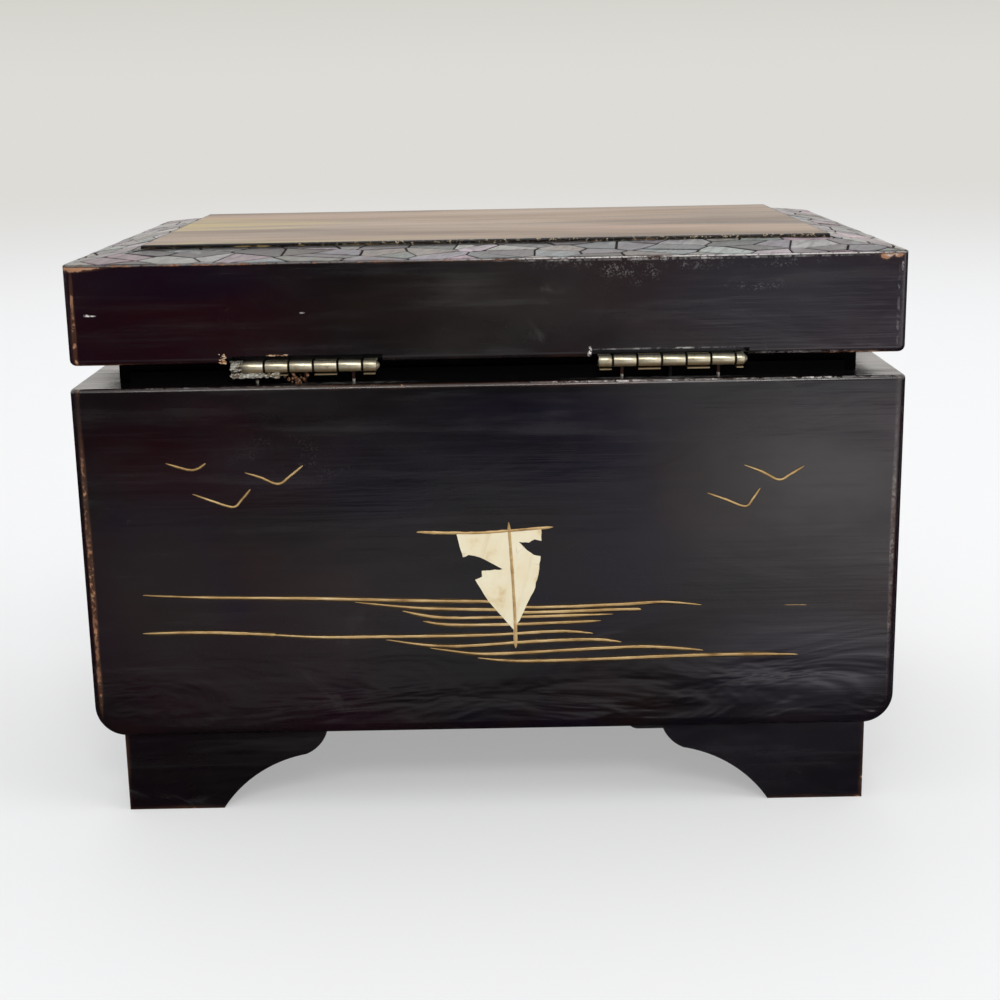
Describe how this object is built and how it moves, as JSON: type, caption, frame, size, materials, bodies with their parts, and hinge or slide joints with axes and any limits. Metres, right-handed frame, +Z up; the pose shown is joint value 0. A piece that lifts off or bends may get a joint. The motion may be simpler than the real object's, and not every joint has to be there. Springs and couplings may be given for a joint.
{
  "type": "musical jewelry box",
  "caption": "Lacquered musical jewelry box on bracket feet with a hinged lid, mirror, velvet tray, two drawers and a wind-up movement.",
  "frame": {"origin": "centre of the bounding box at the level of the feet", "axes": "+Z up, +X to the right as seen from the drawers, +Y towards the hinged back"},
  "size_m": [0.242, 0.175, 0.1709],
  "materials": {
    "lacquer": "black-brown lacquer, glossy, worn to the wood along edges",
    "gold_haze": "lacquer with sprinkled gold under clear coat",
    "shell": "mother-of-pearl chips in dark lacquer",
    "velvet": "short-pile velvet",
    "mirror": "polished",
    "hinge_metal": "pale plated brass, tarnished",
    "raw_wood": "plain sanded wood",
    "knob_brass": "turned and polished",
    "movement_brass": "machined",
    "movement_frame": "cast, bright",
    "steel": "bright steel"
  },
  "bodies": {
    "case": {"case_left": "lacquer", "case_right": "lacquer", "case_back": "lacquer", "case_bottom": "lacquer", "case_front_rail": "lacquer", "drawer_divider": "lacquer", "movement_partition": "raw_wood", "tray_floor": "raw_wood", "liner_left": "lacquer", "liner_right": "lacquer", "liner_front": "lacquer", "liner_back": "lacquer", "foot_back_left": "lacquer", "foot_front_left": "lacquer", "foot_front_right": "lacquer", "foot_back_right": "lacquer", "hinge_lower_leaf_left": "hinge_metal", "hinge_pin_left": "hinge_metal", "hinge_lower_leaf_right": "hinge_metal", "hinge_pin_right": "hinge_metal", "hinge_nails_case": "hinge_metal", "tray_lining": "velvet", "tray_divider": "velvet", "ring_cushion": "velvet", "movement_bedplate": "movement_frame", "spring_housing": "steel", "mainspring": "steel", "music_comb": "steel", "comb_screws": "steel", "movement_screws": "steel", "governor_frame": "movement_frame"},
    "lid": {"lid_left_rail": "lacquer", "lid_right_rail": "lacquer", "lid_front_rail": "lacquer", "lid_back_rail": "lacquer", "lid_top_board": "lacquer", "shell_border": "shell", "lid_panel": "gold_haze", "lid_lining": "velvet", "lid_mirror": "mirror", "hinge_upper_leaf_left": "hinge_metal", "hinge_upper_leaf_right": "hinge_metal", "hinge_nails_lid": "hinge_metal"},
    "drawer_left": {"drawer_front_left": "lacquer", "drawer_walls_left": "raw_wood", "drawer_bottom_left": "raw_wood", "drawer_lining_left": "velvet", "drawer_knob_left": "knob_brass"},
    "drawer_right": {"drawer_front_right": "lacquer", "drawer_walls_right": "raw_wood", "drawer_bottom_right": "raw_wood", "drawer_lining_right": "velvet", "drawer_knob_right": "knob_brass"},
    "winding": {"winding_key": "steel", "winding_arbor": "steel", "drive_wheel": "movement_brass"},
    "cylinder": {"music_cylinder": "movement_brass"},
    "governor": {"governor_wheel": "movement_brass"},
    "fly": {"governor_fly": "movement_brass"},
    "rod": {"stop_rod": "steel"}
  },
  "joints": [
    {"name": "lid_hinge", "type": "hinge", "parent": "case", "child": "lid", "pos_m": [0, 0.0835, 0.1367], "axis": [-1, 0, 0], "range_deg": [0, 111]},
    {"name": "drawer_left_slide", "type": "slide", "parent": "case", "child": "drawer_left", "axis": [0, -1, 0], "range_m": [0, 0.08]},
    {"name": "drawer_right_slide", "type": "slide", "parent": "case", "child": "drawer_right", "axis": [0, -1, 0], "range_m": [0, 0.08]},
    {"name": "key_turn", "type": "hinge", "parent": "case", "child": "winding", "pos_m": [-0.052, 0.0515, 0.0431], "axis": [0, 0, 1], "continuous": true},
    {"name": "cylinder_turn", "type": "hinge", "parent": "case", "child": "cylinder", "pos_m": [-0.0665, 0.0515, 0.05113], "axis": [1, 0, 0], "continuous": true},
    {"name": "governor_turn", "type": "hinge", "parent": "case", "child": "governor", "pos_m": [-0.0847, 0.0609, 0.05455], "axis": [1, 0, 0], "continuous": true},
    {"name": "fly_turn", "type": "hinge", "parent": "case", "child": "fly", "pos_m": [-0.0847, 0.0657, 0.06286], "axis": [1, 0, 0], "continuous": true},
    {"name": "stop_rod_lift", "type": "slide", "parent": "case", "child": "rod", "axis": [0, 0, 1], "range_m": [0, 0.003]}
  ],
  "couplings": [
    {"joint": "cylinder_turn", "follows": "key_turn", "ratio": -2},
    {"joint": "governor_turn", "follows": "key_turn", "ratio": 8},
    {"joint": "fly_turn", "follows": "key_turn", "ratio": -40},
    {"joint": "stop_rod_lift", "follows": "lid_hinge", "m_per_rad": 0.0015}
  ]
}
